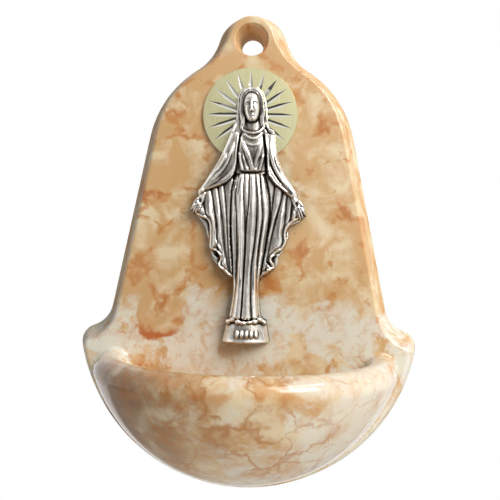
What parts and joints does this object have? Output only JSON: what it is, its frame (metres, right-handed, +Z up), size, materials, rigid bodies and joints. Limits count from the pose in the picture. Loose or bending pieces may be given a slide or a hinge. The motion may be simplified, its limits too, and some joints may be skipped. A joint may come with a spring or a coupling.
{
  "type": "holy water stoup",
  "caption": "Wall-hung holy water stoup: a marbled cast plate with a half-round bowl, a hanging hole, and a metal relief figure in front of a rayed disc.",
  "frame": {"origin": "on the axis of the hanging hole, in the flat back face that lies against the wall", "axes": "+X to the right of a person facing the stoup, +Y into the wall, +Z up; the figure and bowl face -Y"},
  "size_m": [0.1062, 0.0571, 0.1501],
  "materials": {
    "marbled_resin": "cast and polished, marbled tan, orange and cream",
    "antique_silver_plate": "silver plated, darkened in the recesses and rubbed bright on the highs",
    "brushed_brass": "pale satin, brushed upright, with bright cut rays",
    "clear_adhesive": "set two-part adhesive",
    "pin_steel": "drawn wire"
  },
  "bodies": {
    "root": {"stoup_body": "marbled_resin", "relief_figure": "antique_silver_plate", "halo_disc": "brushed_brass", "halo_adhesive": "clear_adhesive", "figure_adhesive": "clear_adhesive", "upper_locating_pin": "pin_steel", "lower_locating_pin": "pin_steel"}
  },
  "joints": []
}
